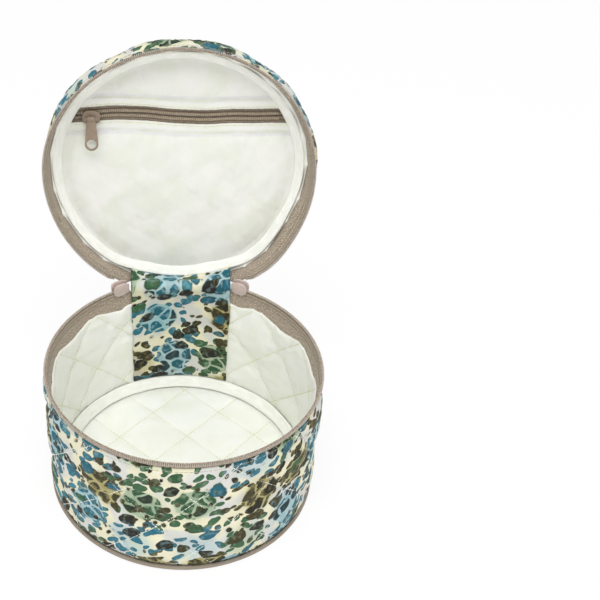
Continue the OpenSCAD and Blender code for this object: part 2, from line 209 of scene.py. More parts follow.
def gridPiece(name, columns, rows, place, closed=False):
    # a flat grid whose points go where place says; place gives points and flat cloth, in mm
    deselectAll()
    bpy.ops.mesh.primitive_grid_add(x_subdivisions=columns, y_subdivisions=rows, size=1)
    piece = bpy.context.object
    piece.name = piece.data.name = name
    flat = readPoints(piece)
    points, cloth = place(flat[:, 0] + 0.5, flat[:, 1] + 0.5)
    writePoints(piece, points / 1000)
    corner = np.zeros(len(piece.data.loops), np.int32)
    piece.data.loops.foreach_get("vertex_index", corner)
    piece.data.uv_layers.active.data.foreach_set("uv", (cloth[corner] / 100).astype(np.float32).ravel())
    if closed:
        mergePoints(piece)
    return piece


def inEdit(piece, operator, **settings):
    # an edit-mode operator on the whole piece
    focus(piece)
    bpy.ops.object.mode_set(mode="EDIT")
    bpy.ops.mesh.select_all(action="SELECT")
    operator(**settings)
    bpy.ops.object.mode_set(mode="OBJECT")


def mergePoints(piece, reach=0.00002):
    inEdit(piece, bpy.ops.mesh.remove_doubles, threshold=reach)


def faceOut(piece):
    inEdit(piece, bpy.ops.mesh.normals_make_consistent, inside=False)


def discPiece(name, cells, radius, height, shape=lambda points: points, facing=(1, 1), clothY=0):
    # a square grid drawn out to a round one; height gives how high each of its places lies
    def place(u, v):
        a, b = facing[0] * (2 * u - 1), facing[1] * (2 * v - 1)
        x, y = radius * a * np.sqrt(1 - b * b / 2), radius * b * np.sqrt(1 - a * a / 2)
        return shape(spotsAt(x, y, height(x, y))), clothFlat(x, y + clothY)

    return gridPiece(name, cells, cells, place)


def clothOf(piece):
    # flat place of each point in its cloth, in mm
    loops = len(piece.data.loops)
    corner, uv = np.zeros(loops, np.int32), np.zeros(loops * 2, np.float32)
    piece.data.loops.foreach_get("vertex_index", corner)
    piece.data.uv_layers.active.data.foreach_get("uv", uv)
    flat = np.zeros((len(piece.data.vertices), 2))
    flat[corner] = uv.reshape(-1, 2) * 100
    return flat[:, 0], flat[:, 1]


swelling = {"scale": 10.0, "pressure": 4.0, "grow": 0.03, "frames": 20, "mass": 0.3, "quality": 5}


def swell(piece, sewn, cap, pressure=swelling["pressure"], grow=swelling["grow"]):
    # cloth simulation: padding swells the cloth between its seams; sewn is 1 where a point is held, cap is in mm
    before = readPoints(piece)
    writePoints(piece, before * swelling["scale"])
    held = piece.vertex_groups.new(name="sewn")
    tenths = np.round(np.clip(sewn, 0, 1) * 10)
    for level in range(1, 11):
        picked = [int(k) for k in np.flatnonzero(tenths == level)]
        if picked:
            held.add(picked, level / 10, "REPLACE")
    focus(piece)
    bpy.ops.object.modifier_add(type="CLOTH")
    cloth = piece.modifiers[-1]
    cloth.settings.quality = swelling["quality"]
    cloth.settings.mass = swelling["mass"]
    cloth.settings.vertex_group_mass = held.name
    cloth.settings.use_pressure = True
    cloth.settings.uniform_pressure_force = pressure
    cloth.settings.shrink_min = -grow
    cloth.settings.effector_weights.gravity = 0
    cloth.collision_settings.use_collision = False
    cloth.point_cache.frame_start, cloth.point_cache.frame_end = 1, swelling["frames"]
    for frame in range(1, swelling["frames"] + 1):
        bpy.context.scene.frame_set(frame)
    focus(piece)
    bpy.ops.object.modifier_apply(modifier=cloth.name)
    bpy.context.scene.frame_set(1)
    move = readPoints(piece) / swelling["scale"] - before
    far = np.maximum(np.linalg.norm(move, axis=1, keepdims=True), 1e-9)
    writePoints(piece, before + move / far * np.tanh(far * 1000 / cap) * cap / 1000)
    piece.vertex_groups.clear()
    print("cloth simulated:", piece.name)


def seams(field, *edges):
    # how firmly a point of quilted cloth is held: on the stitched lines and at its edges
    return np.clip(np.maximum.reduce([1.5 - field / 0.25, *edges]), 0, 1)


def thicken(piece, thickness, offset=-1.0):
    applyModifier(piece, "SOLIDIFY", thickness=thickness / 1000, offset=offset, use_even_offset=True)


def finishPiece(piece, material, body, nodes=(), smooth=True):
    piece.data.materials.clear()
    piece.data.materials.append(material)
    if smooth:
        focus(piece)
        bpy.ops.object.shade_smooth()
    if isinstance(body, str):
        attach(piece, body)
    else:
        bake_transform(piece)
    if nodes:
        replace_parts(piece, *nodes)
    return piece


def copyAlong(name, source, spots, alongs, ups):
    # one mesh of many copies of source: its X along the row and its Z up from the cloth
    alongs = alongs / np.linalg.norm(alongs, axis=1, keepdims=True)
    sides = np.cross(ups, alongs)
    sides /= np.linalg.norm(sides, axis=1, keepdims=True)
    ups = np.cross(alongs, sides)
    shape = readPoints(source)
    turned = (shape[None, :, 0, None] * alongs[:, None, :] + shape[None, :, 1, None] * sides[:, None, :]
              + shape[None, :, 2, None] * ups[:, None, :] + spots[:, None, :] / 1000)
    faces = [list(p.vertices) for p in source.data.polygons]
    count = len(shape)
    mesh = bpy.data.meshes.new(name)
    mesh.from_pydata(turned.reshape(-1, 3).tolist(), [],
                     [[v + k * count for v in f] for k in range(len(spots)) for f in faces])
    piece = bpy.data.objects.new(name, mesh)
    bpy.context.collection.objects.link(piece)
    return piece


def along(path, pitch):
    # points at an even pitch along a path, and the way it runs there
    run = np.concatenate([[0], np.cumsum(np.linalg.norm(np.diff(path, axis=0), axis=1))])
    at = np.arange(pitch / 2, run[-1], pitch)
    spots = np.stack([np.interp(at, run, path[:, k]) for k in range(3)], 1)
    ahead = np.stack([np.interp(at + 0.3, run, path[:, k]) for k in range(3)], 1)
    behind = np.stack([np.interp(at - 0.3, run, path[:, k]) for k in range(3)], 1)
    return spots, ahead - behind


def hexColour(code):
    # sRGB hex to linear colour
    parts = [int(code[k:k + 2], 16) / 255 for k in (0, 2, 4)]
    return tuple([p / 12.92 if p <= 0.04045 else ((p + 0.055) / 1.055) ** 2.4 for p in parts] + [1.0])


def addNode(tree, kind, *feeds, out=0, **settings):
    # feeds fill the node's sockets in order, settings its own properties or sockets by name;
    # each is a value, a hex colour or what another node gives
    node = tree.nodes.new("ShaderNode" + kind)
    for key in [key for key in settings if hasattr(node, key)]:
        setattr(node, key, settings.pop(key))
    sockets = {socket.identifier: socket for socket in node.inputs}
    for key, value in [*zip(sockets, feeds), *settings.items()]:
        if isinstance(value, bpy.types.NodeSocket):
            tree.links.new(value, sockets[key])
        else:
            sockets[key].default_value = hexColour(value) if isinstance(value, str) else value
    return node.outputs[out]


def newMaterial(name, **shader):
    # gives the material and what adds a node to it
    material = bpy.data.materials.new(name)
    material.use_nodes = True
    for key, value in shader.items():
        material.node_tree.nodes["Principled BSDF"].inputs[key].default_value = value
    return material, partial(addNode, material.node_tree)


def dressed(material, colour, height, strength, depth):
    # the pattern's colour and its fine relief, depth in metres
    tree = material.node_tree
    sockets = tree.nodes["Principled BSDF"].inputs
    tree.links.new(colour, sockets["Base Color"])
    tree.links.new(addNode(tree, "Bump", Strength=strength, Distance=depth, Height=height), sockets["Normal"])
    return material


# settings that several nodes share: colours mixed, a soft step, a noise in the flat of the cloth
mixed = {"data_type": "RGBA", "out": 2}
step = {"interpolation_type": "SMOOTHSTEP"}
inCloth = {"noise_dimensions": "2D"}


def palette(add, value, codes):
    # one plain colour of the list for each band of value
    picked = add("ValToRGB", value)
    stops = picked.node.color_ramp
    stops.interpolation = "CONSTANT"
    while len(stops.elements) < len(codes):
        stops.elements.new(0.5)
    for k, code in enumerate(codes):
        stops.elements[k].position = k / len(codes)
        stops.elements[k].color = hexColour(code)
    return picked


def clothPlace(add, shift=(0, 0), **settings):
    # the cloth's own flat place: 1 is 100 mm
    return add("Mapping", add("TexCoord", out=2), (*shift, 0), **settings)


def weave(add, place, pitch):
    # plain weave: warp and weft ridges; pitch in mm
    warp, weft = [add("TexWave", place, 100 / pitch / 3.1416 / 2, 0.6, 1.0, bands_direction=way, out=1)
                  for way in ("X", "Y")]
    return add("Math", warp, weft, operation="MULTIPLY")


# printed cotton: matt plain weave with a wet-looking print of packed pebbles in round drifts, single pebbles and dabs
printed = {
    "regionMm": 33, "driftR": 0.40, "packedMm": 9.0, "pebbleMm": 12.5, "dabMm": 7.0, "seedMm": 5.4, "wanderMm": 13,
    "cloudMm": 22, "wetMm": 4.0, "wander": 0.055, "soft": 0.045, "threadMm": 0.9,
    "ground": "E6E1C4", "cloud": "D4D4CE", "darkInk": "22231C", "bleed": "A59B5C",
    "strong": ["1D6070", "246776", "2F5436", "205C6B", "3B3820"],
    "pale": ["93BCC4", "A9C6CA", "9FB396", "A2C0C6", "A89F66"],
    "dab": ["2C7083", "3D808D", "3C6344", "34707F", "403C1E"],
    "pebble": ["322F1E", "34593A", "26251C", "403B20", "256274", "3A6140", "226274", "24261F"],
    "seed": ["322F1E", "25251E", "403B20"],
}


def printedCotton(shift):
    material, add = newMaterial("printed cotton", **{"Roughness": 0.88, "Specular IOR Level": 0.22,
                                                     "Sheen Weight": 0.06, "Sheen Roughness": 0.6})
    place = clothPlace(add, shift)

    def noise(sizeMm, detail, out=0):
        return add("TexNoise", place, Scale=100 / sizeMm, Detail=detail, out=out, **inCloth)

    def cells(cellMm, at=0.0, turn=0.0, stretch=1.0, **settings):
        # how far each spot is from its pebble's middle, or from the edge
        spot = add("Mapping", moved, (at, 0.6 * at, 0), (0, 0, turn), (stretch, 1, 1), vector_type="TEXTURE")
        return add("TexVoronoi", spot, voronoi_dimensions="2D", Scale=100 / cellMm, **settings)

    def numbers(colours):
        # three even numbers of each pebble's or cloud's own
        return add("SeparateColor", colours).node.outputs

    def over(value, least):
        return add("Math", value, least, operation="GREATER_THAN")

    def less(value, other):
        return add("Math", value, other, operation="SUBTRACT")

    def product(*values):
        total = values[0]
        for value in values[1:]:
            total = add("Math", total, value, operation="MULTIPLY")
        return total

    def lay(share, ink, under):
        return add("Mix", share, A_Color=under, B_Color=ink, **mixed)

    moved = add("VectorMath", noise(printed["wanderMm"], 2.0, 1), (printed["wander"], printed["wander"], 0.0), place,
                operation="MULTIPLY_ADD")
    wet = noise(printed["wetMm"], 3.0)
    clouds = numbers(noise(printed["cloudMm"], 1.5, 1))
    middle = cells(printed["regionMm"], Randomness=0.62)
    region = numbers(middle.node.outputs["Color"])
    pale = palette(add, region[0], printed["pale"])
    colour = lay(add("MapRange", clouds[0], 0.46, 0.58, **step), printed["cloud"], printed["ground"])
    wash = add("MapRange", middle, 0.58, 0.28, 0.0, 0.5, **step)
    colour = lay(product(wash, over(region[2], 0.3)), pale, colour)

    def paint(mask, ink, share, dry):
        # ink dries paler in patches
        nonlocal colour
        ink = lay(add("MapRange", wet, 0.48, 0.72, 0.0, dry, **step), pale, ink)
        colour = lay(product(mask, share), ink, colour)

    def pebbles(cellMm, at, turn, stretch, sizes, least, ink, where=1.0, soft=printed["soft"], share=1.0, dry=0.3):
        far = cells(cellMm, at, turn, stretch, Randomness=0.78)
        own = numbers(far.node.outputs["Color"])
        depth = less(add("MapRange", own[1], 0.0, 1.0, *sizes), far)
        mask = product(add("MapRange", depth, 0.0, soft, **step), over(own[2], least), where)
        ink = palette(add, own[0], ink) if isinstance(ink, list) else ink
        pooled = product(less(1.0, add("MapRange", depth, soft, soft * 3, **step)), 0.35)
        paint(mask, lay(pooled, printed["darkInk"], ink), share, dry)

    ownDab = palette(add, region[0], printed["dab"])
    pebbles(printed["dabMm"], 2.3, 0.6, 1.7, (0.21, 0.42), 0.2, ownDab)
    pebbles(printed["dabMm"] * 1.25, 5.7, -0.5, 1.35, (0.21, 0.41), 0.36, ownDab)
    # packed pebbles fill a round drift, and some of them are darker
    packing = printed["packedMm"], 1.1, 0.3, 1.15
    edge = cells(*packing, feature="DISTANCE_TO_EDGE", Randomness=0.85)
    near = cells(*packing, Randomness=0.85)
    single = numbers(near.node.outputs["Color"])
    depth = add("Math", edge, less(0.60, near), operation="MINIMUM")
    drift = product(add("MapRange", less(printed["driftR"], middle), 0.0, 0.035, **step), over(region[1], 0.28))
    packed = product(drift, add("MapRange", depth, 0.05, 0.12, **step))
    colour = lay(product(drift, 0.85), pale, colour)
    paint(packed, palette(add, region[0], printed["strong"]), 1.0, 0.5)
    colour = lay(product(packed, over(single[1], 0.66), 0.75), printed["darkInk"], colour)
    # single pebbles, dark as often as not, then small dark seeds in loose drifts with an olive bleed
    pebbles(printed["pebbleMm"], 8.4, 0.3, 1.35, (0.23, 0.41), 0.36, printed["pebble"], dry=0.25)
    loose = add("MapRange", clouds[2], 0.52, 0.46, **step)
    seeds = printed["seedMm"], 3.9, 0.9, 1.2
    pebbles(*seeds, (0.3, 0.55), 0.45, printed["bleed"], loose, soft=0.35, share=0.6)
    pebbles(*seeds, (0.16, 0.36), 0.45, printed["seed"], loose, dry=0.15)
    # the threads are 0.3 mm, drawn coarser to show
    return dressed(material, colour, weave(add, place, printed["threadMm"]), 0.25, 0.0003)


# lining: white woven nylon, smooth enough for a soft shine, with fine crumples
def liningNylon(name, code, second, crumple, hemAt=None):
    material, add = newMaterial(name, **{"Roughness": 0.55, "Specular IOR Level": 0.3, "Sheen Weight": 0.1,
                                         "Sheen Roughness": 0.4})
    place = clothPlace(add)
    folds = add("TexNoise", place, Scale=100 / 26, Detail=2.0, Distortion=0.6, **inCloth)
    shade = add("Mix", add("MapRange", folds, 0.3, 0.7, **step), A_Color=code, B_Color=second, **mixed)
    if hemAt:
        # the turned-under hems of the pocket's mouth show through as greyer bands, which are also painted shade along
        # the topstitching
        across = add("Math", add("SeparateXYZ", place, out=1), 0.383, operation="ADD")
        away = add("Math", across, 0, operation="ABSOLUTE")
        patch = add("TexNoise", place, Scale=100 / 16, Detail=1.0, **inCloth)
        band = add("Math", add("MapRange", away, hemAt[0], hemAt[0] + 0.02, **step),
                   add("MapRange", away, hemAt[1], hemAt[1] - 0.02, **step), operation="MULTIPLY")
        # the band's painted grey comes and goes in patches
        bandPatches = add("Math", add("MapRange", patch, 0.3, 0.7, 0.0, 0.3, **step), 0.35, operation="ADD")
        shade = add("Mix", add("Math", band, bandPatches, operation="MULTIPLY"), A_Color=shade, B_Color="D3D3D8", **mixed)
    # 0.2 mm threads, drawn coarser to show
    threads = add("Math", weave(add, place, 0.8), 0.025, operation="MULTIPLY")
    return dressed(material, shade, add("Math", folds, crumple, threads, operation="MULTIPLY_ADD"), 0.5, 0.004)


# bias binding: white cotton cut on the slant, so its threads run at 45 degrees and it pulls in small diagonals
def biasCotton():
    material, add = newMaterial("bias binding cotton", **{"Roughness": 0.85, "Sheen Weight": 0.1})
    slant = clothPlace(add, Rotation=(0, 0, math.radians(45)))
    pulls = clothPlace(add, Rotation=(0, 0, math.radians(38)), Scale=(7, 34, 1))
    drag = add("TexNoise", pulls, Scale=1.6, Detail=2.0, **inCloth)
    # the hollows of the pulls are painted greyer: painted shade in the folds
    shade = add("Mix", add("MapRange", drag, 0.35, 0.7, **step), A_Color="EFF0E8", B_Color="F7F7F1", **mixed)
    threads = add("Math", weave(add, slant, 0.8), 0.05, operation="MULTIPLY")
    return dressed(material, shade, add("Math", drag, 0.35, threads, operation="MULTIPLY_ADD"), 0.5, 0.002)


# polyester zip tape: taupe herringbone with flecks, its ribs drawn 1.5 mm apart to show, matt with a slight sheen
def zipTape(name, dark, light, fleck, coilShadeAt, ribAndEdgeShadeAt):
    material, add = newMaterial(name, **{"Roughness": 0.75, "Sheen Weight": 0.12, "Sheen Roughness": 0.5})
    place = clothPlace(add)
    ahead, across = add("SeparateXYZ", place).node.outputs[:2]
    slant = add("Math", ahead, add("Math", across, 0.026, operation="PINGPONG"), operation="ADD")
    rib = add("Math", add("Math", slant, 2 * math.pi * 100 / 1.5, operation="MULTIPLY"), operation="SINE")
    speckle = add("TexNoise", place, Scale=100 / 1.15, Detail=2.0, **inCloth)
    mix = add("Math", rib, 0.15, speckle, operation="MULTIPLY_ADD")
    colour = add("Mix", add("MapRange", mix, 0.38, 0.58, **step), A_Color=dark, B_Color=light, **mixed)
    colour = add("Mix", add("MapRange", mix, 0.62, 0.74, 0.0, 0.6, **step), A_Color=colour, B_Color=fleck, **mixed)
    # dark lines painted along the tape: painted shade beside the coil, and a second line, which is a woven rib on the
    # rim tape and painted shade at the pocket tape's near edge, in the gap between its coils
    for at, wide, depth in ((coilShadeAt, 0.006, 0.75), (ribAndEdgeShadeAt, 0.005, 0.35)):
        away = add("Math", add("Math", across, at / 100, operation="SUBTRACT"), operation="ABSOLUTE")
        line = add("MapRange", away, wide * 1.6, wide * 0.4, 0.0, depth, **step)
        colour = add("Mix", line, A_Color=colour, B_Color="554A3D", **mixed)
    return dressed(material, colour, mix, 0.5, 0.0004)


# piping: taupe twill over cord, with fine slanting lines
def pipingTwill():
    material, add = newMaterial("piping twill", **{"Roughness": 0.8, "Sheen Weight": 0.1})
    ahead, across = add("SeparateXYZ", clothPlace(add)).node.outputs[:2]
    slope = add("Math", across, 1.2, ahead, operation="MULTIPLY_ADD")
    line = add("Math", add("Math", slope, 2 * math.pi * 100 / 1.1, operation="MULTIPLY"), operation="SINE")
    shade = add("Mix", add("MapRange", line, -0.8, 0.9, **step), A_Color="857868", B_Color="B1A595", **mixed)
    return dressed(material, shade, line, 0.5, 0.0003)


def plainThing(name, code, second, grainMm, **shader):
    # a moulded, painted or spun thing with a slight mottle of its own colour
    material, add = newMaterial(name, **shader)
    mottle = add("TexNoise", add("TexCoord", out=3), Scale=1000 / grainMm, Detail=2.0)
    shade = add("Mix", add("MapRange", mottle, 0.3, 0.7, **step), A_Color=code, B_Color=second, **mixed)
    return dressed(material, shade, mottle, 0.15, 0.0002)


outerPrint = printedCotton((0.37, 0.11))
tabPrint = printedCotton((4.6, 2.35))
lidPrint = printedCotton((7.1, 5.2))
wallNylon = liningNylon("wall lining nylon", "F7F8F3", "F3F5EB", 0.2)
# the lid's lining is the same white nylon, drawn greyer: painted shade for the lid's face, which gets less light
lidNylonShaded = liningNylon("lid lining nylon", "ECECE7", "E5E7DC", 0.3, hemAt=(0.09, 0.15))
binding = biasCotton()
# the last two numbers place the tape's two dark lines, the painted shade beside the coil first
rimTape = zipTape("rim zip tape", "8A7C6A", "B5A795", "D6CBBD", 15.6, 12.8)
pocketTape = zipTape("pocket zip tape", "66594B", "9C8D78", "B0A08A", 6.0, 3.4)
# nylon coil: drawn filament with a soft shine; paler where the light runs along each turn
rimCoil = plainThing("rim zip coil nylon", "A5998B", "C9BEB1", 1.2, Roughness=0.42)
pocketCoil = plainThing("pocket zip coil nylon", "AF9E87", "CABBA4", 1.2, Roughness=0.42)
piping = pipingTwill()
# sprayed zinc sliders: opaque enamel, smooth and half glossy
rimEnamel = plainThing("slider enamel mauve taupe", "CDBCB4", "C6B4AC", 3.0, Roughness=0.38)
pocketEnamel = plainThing("pocket slider enamel brown taupe", "95826F", "8C7A68", 3.0, Roughness=0.35)
# sewing thread: spun cotton, cream on the lining and paler outside
liningThread = plainThing("lining thread", "D9DAAE", "E3E3C0", 0.6, Roughness=0.8)
hemThread = plainThing("outer hem thread", "A3A08D", "AFAC99", 0.6, Roughness=0.8)
outerThread = plainThing("outer thread", "E9E8E0", "F4F3EC", 0.6, Roughness=0.8)
tapeThread = plainThing("tape thread", "7E715F", "95887A", 0.6, Roughness=0.8)
print("materials made")


# sewing and zip parts that repeat, each modelled once
def roundedBar(name, length, width, height, bevel):
    deselectAll()
    bpy.ops.mesh.primitive_cube_add(size=1)
    piece = bpy.context.object
    piece.name = name
    bpy.ops.object.mode_set(mode="EDIT")
    bpy.ops.transform.resize(value=(length / 1000, width / 1000, height / 1000))
    bpy.ops.transform.translate(value=(0, 0, height / 2000))
    bpy.ops.mesh.bevel(offset=bevel / 1000, segments=1, affect="EDGES")
    bpy.ops.object.mode_set(mode="OBJECT")
    return piece


thread = {"stitch": 2.3, "pitch": 2.9, "width": 0.5, "height": 0.34, "dip": 0.1}
stitchShape = roundedBar("stitchShape", thread["stitch"], thread["width"], thread["height"], 0.13)
coilTurn = {"pitch": 1.25, "along": 0.78, "across": 2.0, "high": 1.6, "pocketPitch": 1.3}
turnShape = roundedBar("turnShape", coilTurn["along"], coilTurn["across"], coilTurn["high"], 0.32)


def stitchRow(name, paths, up, material, body, lift=0.0):
    # up is the way out of the cloth, or gives it for each spot
    rows = [along(path, thread["pitch"]) for path in paths]
    spots, ways = [np.concatenate(parts) for parts in zip(*rows)]
    ups = up(spots) if callable(up) else np.tile(np.array(up, float), (len(spots), 1))
    ups = ups / np.linalg.norm(ups, axis=1, keepdims=True)
    piece = copyAlong(name, stitchShape, spots + ups * (lift - thread["dip"]), ways, ups)
    return finishPiece(piece, material, body, smooth=False)


def outFrom(points):
    return points * [1.0, 1.0, 0.0]


def inFrom(points):
    return -outFrom(points)


# drum wall, outside
outerWall = {"columns": 288, "rows": 46, "puff": 1.0, "swell": 1.0, "slack": 0.5, "crumple": 0.18, "cloth": 0.9,
             "foot": 3.0, "top": 93.3, "hingeTop": 84.6, "hem": 0.35, "hemStitch": 2.4,
             "sewnFoot": 7, "sewnTop": 5, "sewnBack": 276}


def frontRun(angle):
    # arc length from the front of the drum, towards the right
    return (math.pi - np.mod(angle, 2 * math.pi)) * case["clothR"]


def clothRun(u):
    # the same for a piece sewn up at the back, from one edge of its cloth to the other
    return (2 * u - 1) * math.pi * case["clothR"]


def outerRadius(angle, z, top):
    s = frontRun(angle)
    free = ease((z - outerWall["foot"]) / 10) * ease((top - z) / 8) * ease((math.pi * case["clothR"] - np.abs(s)) / 7)
    spot = ringPoints(angle, case["clothR"], z)
    soft = ripple(spot, 70, 2) * outerWall["slack"] + ripple(spot, 13, 5) * outerWall["crumple"]
    hem = outerWall["hem"] * bump(z, top - outerWall["hemStitch"], 0.8)
    tuck = 1.1 * (1 - ease((z - outerWall["foot"]) / 3.5)) + 0.5 * ease((z - top + 1.4) / 1.4)
    return wallR(z) - 0.35 * free + (outerWall["puff"] * diamond(s, z) + soft) * free - hem - tuck


def outerTop(angle):
    return np.where(fromHinge(angle) < case["zipEndA"], outerWall["hingeTop"], outerWall["top"])


def placeOuterWall(u, v):
    angle = 2 * math.pi * (1 - u)
    top = outerTop(angle)
    z = outerWall["foot"] + (top - outerWall["foot"]) * v
    return ringPoints(angle, outerRadius(angle, z, top), z), clothFlat(clothRun(u), z)


wallOutside = gridPiece("wallOutside", outerWall["columns"], outerWall["rows"], placeOuterWall, closed=True)
run, up = clothOf(wallOutside)
top = outerTop(math.pi - run / case["clothR"])
sewn = seams(diamond(run, up), ease((outerWall["sewnFoot"] - up) / 3), ease((up - top + outerWall["sewnTop"]) / 2),
             ease((np.abs(run) - outerWall["sewnBack"]) / 3))
swell(wallOutside, sewn, outerWall["swell"])
thicken(wallOutside, outerWall["cloth"])
finishPiece(wallOutside, outerPrint, "tub", ("wall_outer_panel", "wall_foam"))
print("outer wall made")


# drum wall, inside
wallInside = {"columns": 288, "rows": 44, "puff": 0.9, "swell": 0.9, "slack": 0.45, "crumple": 0.32, "cloth": 0.8,
              "foot": 6.0, "top": 84.0, "peak": 2.4, "sag": 4.6, "tabHalf": 35.0, "atR": 85.0,
              "sewnFoot": 13, "sewnTop": 80.5, "sewnBack": 40}


def besideTab(spot):
    # 0 behind the hinge tab, where the lining is pressed flat, 1 clear of it
    return np.where(spot[:, 1] > 0, ease((np.abs(spot[:, 0]) - wallInside["tabHalf"]) / 6), 1.0)


def liningRadius(angle, z):
    flat = wallR(z) - case["stack"]
    spot = ringPoints(angle, wallInside["atR"], z)
    aside = besideTab(spot)
    free = ease((z - 9) / 12) * (0.35 + 0.65 * ease((wallInside["top"] - z) / 9)) * aside
    soft = ripple(spot, 60, 4) * wallInside["slack"] + ripple(spot, 17, 9) * wallInside["crumple"]
    return flat + 0.3 * aside - (wallInside["puff"] * diamond(frontRun(angle), z) + soft + 0.3) * free


def liningTop(angle):
    dip = diamond(frontRun(angle), wallInside["top"])
    aside = besideTab(ringPoints(angle, wallInside["atR"], 0))
    return wallInside["top"] + aside * (wallInside["peak"] - wallInside["sag"] * dip)


def placeWallInside(u, v):
    angle = 2 * math.pi * u
    z = wallInside["foot"] + (liningTop(angle) - wallInside["foot"]) * v
    return ringPoints(angle, liningRadius(angle, z), z), clothFlat(-clothRun(u), z)


wallLining = gridPiece("wallLining", wallInside["columns"], wallInside["rows"], placeWallInside, closed=True)
run, up = clothOf(wallLining)
fromBack = math.pi * case["clothR"] - np.abs(run)
sewn = seams(diamond(run, up), ease((wallInside["sewnFoot"] - up) / 4), ease((up - wallInside["sewnTop"]) / 2),
             ease((wallInside["sewnBack"] - fromBack) / 4))
swell(wallLining, sewn, wallInside["swell"])
thicken(wallLining, wallInside["cloth"])
finishPiece(wallLining, wallNylon, "tub", ("wall_lining",))


def wallLines(low, high, keep, radius):
    # the lines of diamond stitching, which run up the wall at 45 degrees
    paths = []
    for sense in (1, -1):
        for k in range(-9, 10):
            z = np.linspace(low, high, 160)
            s = case["quiltFrontS"] + k * case["quiltRepeat"] + sense * (z - case["quiltZ"])
            angle = math.pi - s / case["clothR"]
            inside = (np.abs(s) < math.pi * case["clothR"] - 1) & keep(angle, z)
            for run in np.split(np.arange(len(z)), np.flatnonzero(np.diff(inside.astype(int))) + 1):
                if inside[run[0]] and len(run) > 4:
                    paths.append(ringPoints(angle[run], radius(angle[run], z[run]), z[run]))
    return paths


def clearOfTab(angle, z):
    spot = ringPoints(angle, wallInside["atR"], z)
    clear = (spot[:, 1] < 0) | (np.abs(spot[:, 0]) > wallInside["tabHalf"] - 0.5)
    return clear & (z < liningTop(angle) - 0.6)


paths = wallLines(9.0, 86.0, clearOfTab, liningRadius)
stitchRow("wallLiningStitching", paths, inFrom, liningThread, "tub", lift=0.12)
paths = wallLines(4.0, 93.0, lambda angle, z: z < outerTop(angle) - 1,
                  lambda angle, z: outerRadius(angle, z, outerTop(angle)))
stitchRow("wallOutsideStitching", paths, outFrom, outerThread, "tub")
ring = ringFrom(case["zipEndA"] + 0.4, 900)
hemZ = outerWall["top"] - outerWall["hemStitch"]
hemRow = ringPoints(ring, outerRadius(ring, hemZ, outerWall["top"]), hemZ)
stitchRow("wallHemStitching", [hemRow], outFrom, hemThread, "tub")
print("lining and stitching made")


# base
baseSizes = {"cells": 96, "radius": 87.0, "channel": 0.8, "edge": 1.0, "cloth": 0.7, "quiltAt": (4.4, 74.3),
             "floorR": 84.0, "floorZ": 4.1, "floorPuff": 0.6, "floorSwell": 0.6, "floorCloth": 0.8, "sewnR": 74,
             "stitchR": 78.5, "pipeR": 88.45, "pipeThick": 1.4, "pipeZ": 1.5, "pipeCloth": 8.8}


def undersideHeight(x, y):
    r = np.hypot(x, y)
    channel = baseSizes["channel"] * (1 - diamond(x, y, *baseSizes["quiltAt"]))
    return channel * ease((86 - r) / 5) + baseSizes["edge"] * ease((r - 83) / 4)


underside = discPiece("baseUnderside", baseSizes["cells"], baseSizes["radius"], undersideHeight, facing=(1, -1))
thicken(underside, baseSizes["cloth"])
finishPiece(underside, outerPrint, "tub", ("base_outer_panel", "base_foam"))


def floorHeight(x, y):
    soft = ripple(spotsAt(x, y), 55, 3) * 0.45 + ripple(spotsAt(x, y), 15, 8) * 0.22
    puff = baseSizes["floorPuff"] * diamond(x, y, *baseSizes["quiltAt"])
    return baseSizes["floorZ"] + (puff + soft + 0.3) * ease((79.5 - np.hypot(x, y)) / 9)


floorLining = discPiece("floorLining", baseSizes["cells"], baseSizes["floorR"], floorHeight)
x, y = clothOf(floorLining)
sewn = seams(diamond(x, y, *baseSizes["quiltAt"]), ease((np.hypot(x, y) - baseSizes["sewnR"]) / 4))
swell(floorLining, sewn, baseSizes["floorSwell"])
thicken(floorLining, baseSizes["floorCloth"])
finishPiece(floorLining, wallNylon, "tub", ("base_lining",))


def discLines(radius, height, x0, y0):
    paths = []
    for sense in (1, -1):
        for k in range(-9, 10):
            x = np.linspace(-radius, radius, 240)
            y = y0 + sense * (x - x0) + k * case["quiltRepeat"]
            inside = np.hypot(x, y) < radius
            x, y = x[inside], y[inside]
            if len(x) > 6:
                paths.append(spotsAt(x, y, height(x, y)))
    return paths


paths = discLines(baseSizes["stitchR"], floorHeight, *baseSizes["quiltAt"])
stitchRow("floorStitching", paths, (0, 0, 1), liningThread, "tub", lift=0.12)


def placePiping(u, v):
    angle, turn = 2 * math.pi * u, 2 * math.pi * v
    thick = baseSizes["pipeThick"] * (1 + 0.03 * ripple(ringPoints(angle, case["baseR"], 0), 19, 6))
    r = baseSizes["pipeR"] + thick * np.cos(turn)
    z = baseSizes["pipeZ"] + np.minimum(thick, baseSizes["pipeThick"]) * np.sin(turn)
    return ringPoints(angle, r, z), clothFlat(angle * case["rimR"], v * baseSizes["pipeCloth"])


pipingCord = gridPiece("basePiping", 360, 14, placePiping, closed=True)
faceOut(pipingCord)
finishPiece(pipingCord, piping, "tub", ("base_piping_cover", "base_piping_core"))


